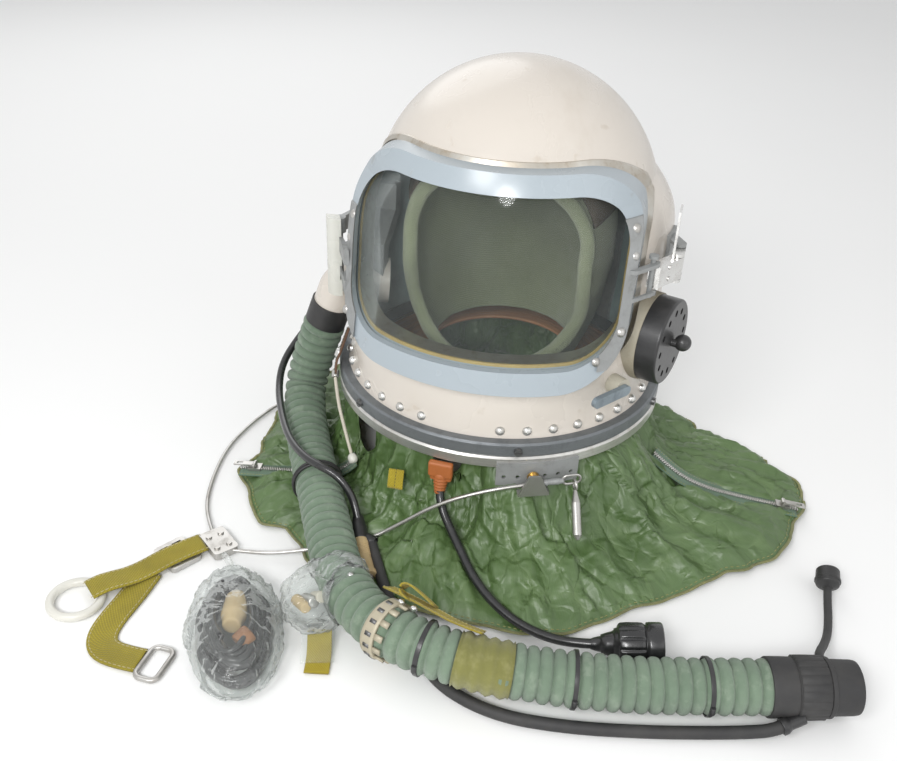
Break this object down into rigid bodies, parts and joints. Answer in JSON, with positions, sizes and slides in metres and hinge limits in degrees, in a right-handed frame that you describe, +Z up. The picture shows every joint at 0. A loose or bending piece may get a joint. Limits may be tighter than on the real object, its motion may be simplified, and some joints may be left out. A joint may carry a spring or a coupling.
{
  "type": "pilot flight helmet",
  "caption": "Rigid pilot flight helmet with hinged visor and side latch on a ball-bearing neck ring, with cape, ribbed air hose, leads and hold-down cable.",
  "frame": {"origin": "centre of the neck entrance on the plane the hem of the cape lies on, under the axis of the neck ring", "axes": "+Z up along the axis of the neck ring, -Y out of the face of the helmet, +X to the wearer's left"},
  "size_m": [0.561, 0.4909, 0.3425],
  "materials": {
    "black_plastic": "satin",
    "black_rubber": "satin",
    "blue_cast_metal": "rough cast, painted",
    "blue_enamel": "gloss enamel",
    "bright_chrome": "polished",
    "brown_leather": "oiled",
    "brown_rubber": "matte",
    "clear_bag": "thin clear film",
    "clear_glass": "clear",
    "clear_plastic": "milky, translucent",
    "dark_anodised": "speckled, satin",
    "green_cloth": "ribbed cloth",
    "green_nylon": "crumpled nylon",
    "grey_metal": "grey paint",
    "grey_plastic": "satin",
    "ochre_rubber": "matte",
    "olive_cloth": "knit",
    "orange_rubber": "satin",
    "steel_fittings": "satin",
    "tan_metal": "tan paint",
    "tan_rubber": "matte",
    "teal_cloth": "felt",
    "teal_tape": "woven tape",
    "turned_aluminium": "turned, bright",
    "white_enamel": "gloss enamel",
    "white_plastic": "gloss",
    "yellow_brass": "satin",
    "yellow_tape": "woven tape"
  },
  "bodies": {
    "base": {"adjuster_buckle": "steel_fittings", "bearing_balls": "steel_fittings", "cable_plate": "steel_fittings", "cap_tether": "black_rubber", "cape": "green_nylon", "comm_cable": "black_rubber", "comm_gland": "orange_rubber", "comm_plug": "black_plastic", "front_tab": "grey_metal", "heater_lead": "black_rubber", "hold_down_cable": "steel_fittings", "hose": "green_cloth", "hose_bands": "tan_metal", "hose_connector": "black_rubber", "hose_sleeve": "olive_cloth", "hose_strap": "yellow_tape", "lead_connector": "tan_rubber", "lower_ring": "turned_aluminium", "neck_seal": "brown_rubber", "pulley_bracket": "steel_fittings", "side_tube": "black_rubber", "spare_lead_bag": "clear_bag", "webbing": "yellow_tape", "zip_tapes": "teal_tape"},
    "helmet": {"upper_ring": "dark_anodised", "index_studs": "steel_fittings", "shell": "white_enamel", "shell_lining": "teal_cloth", "visor_seat_frame": "turned_aluminium", "shell_rivets": "turned_aluminium", "hinge_bracket": "grey_metal", "latch_base": "grey_metal", "valve_gasket": "ochre_rubber", "valve_body": "black_plastic", "crank_boss": "grey_plastic", "inlet_elbow": "white_enamel", "hose_cuff": "black_rubber", "lead_gland": "black_rubber", "liner_hood": "olive_cloth", "inner_brackets": "grey_metal", "leather_strap": "brown_leather"},
    "visor": {"visor_frame": "blue_enamel", "visor_glass": "clear_glass", "visor_gasket": "ochre_rubber", "hinge_strip": "grey_metal", "hinge_cover": "clear_plastic", "latch_strip": "grey_metal", "frame_rivets": "steel_fittings"},
    "latch_lever": {"latch_lever": "bright_chrome"},
    "latch_link": {"latch_link": "bright_chrome"},
    "valve_toggle": {"valve_toggle": "yellow_brass"},
    "crank_lever": {"crank_lever": "blue_cast_metal"},
    "pulley_roller": {"pulley_roller": "yellow_brass"},
    "tether_hook": {"tether_hook": "bright_chrome"},
    "pull_ring": {"pull_ring": "white_plastic"},
    "link_ring": {"link_ring": "steel_fittings"},
    "zip_slider_left": {"zip_slider_left": "steel_fittings"},
    "zip_slider_right": {"zip_slider_right": "steel_fittings"},
    "zip_pull_left": {"zip_pull_left": "steel_fittings"},
    "zip_pull_right": {"zip_pull_right": "steel_fittings"}
  },
  "joints": [
    {"name": "shell_swivel", "type": "hinge", "parent": "base", "child": "helmet", "pos_m": [0, 0, 0.088], "axis": [0, 0, 1], "range_deg": [-20, 20], "deforming": ["hose", "heater_lead"]},
    {"name": "visor_hinge", "type": "hinge", "parent": "helmet", "child": "visor", "pos_m": [-0.125, -0.044, 0.19], "axis": [0, 0, -1], "range_deg": [0, 95]},
    {"name": "latch_pivot", "type": "hinge", "parent": "helmet", "child": "latch_lever", "pos_m": [0.134, -0.012, 0.213], "axis": [0, 0, 1], "range_deg": [0, 92]},
    {"name": "link_pivot", "type": "hinge", "parent": "latch_lever", "child": "latch_link", "pos_m": [0.134, -0.024, 0.213], "axis": [0, 0, 1], "range_deg": [-92, 0]},
    {"name": "crank_turn", "type": "hinge", "parent": "helmet", "child": "crank_lever", "pos_m": [0.11195, -0.07723, 0.1335], "axis": [0.8231, -0.5678, 0], "range_deg": [-35, 75]},
    {"name": "valve_turn", "type": "hinge", "parent": "helmet", "child": "valve_toggle", "pos_m": [0.14054, -0.03766, 0.1575], "axis": [0.9659, -0.2588, 0], "range_deg": [-90, 90]},
    {"name": "roller_spin", "type": "hinge", "parent": "base", "child": "pulley_roller", "pos_m": [0.05993, -0.12851, 0.0737], "axis": [0.4226, -0.9063, 0], "continuous": true},
    {"name": "hook_swing", "type": "hinge", "parent": "base", "child": "tether_hook", "pos_m": [0.08947, -0.11442, 0.06667], "axis": [-0.9019, -0.4281, -0.0571], "range_deg": [0, 60]},
    {"name": "pull_ring_turn", "type": "hinge", "parent": "base", "child": "pull_ring", "pos_m": [-0.238, -0.2845, 0.0032], "axis": [0, 0, 1], "continuous": true},
    {"name": "link_ring_lift", "type": "hinge", "parent": "base", "child": "link_ring", "pos_m": [-0.162, -0.3195, 0.002], "axis": [0, -1, 0], "range_deg": [0, 80]},
    {"name": "zip_slide_right", "type": "slide", "parent": "base", "child": "zip_slider_right", "axis": [0.9699, 0.1819, -0.1617], "range_m": [-0.009, 0.003]},
    {"name": "zip_pull_lift_right", "type": "hinge", "parent": "zip_slider_right", "child": "zip_pull_right", "pos_m": [0.25119, -0.01353, 0.01457], "axis": [0.1843, -0.9829, 0], "range_deg": [0, 160]},
    {"name": "zip_slide_left", "type": "slide", "parent": "base", "child": "zip_slider_left", "axis": [-0.9865, -0.1518, -0.0607], "range_m": [-0.009, 0.003]},
    {"name": "zip_pull_lift_left", "type": "hinge", "parent": "zip_slider_left", "child": "zip_pull_left", "pos_m": [-0.18247, -0.10623, 0.01322], "axis": [-0.1521, 0.9884, 0], "range_deg": [0, 160]}
  ],
  "couplings": [
    {"joint": "link_pivot", "follows": "latch_pivot", "ratio": -1}
  ]
}
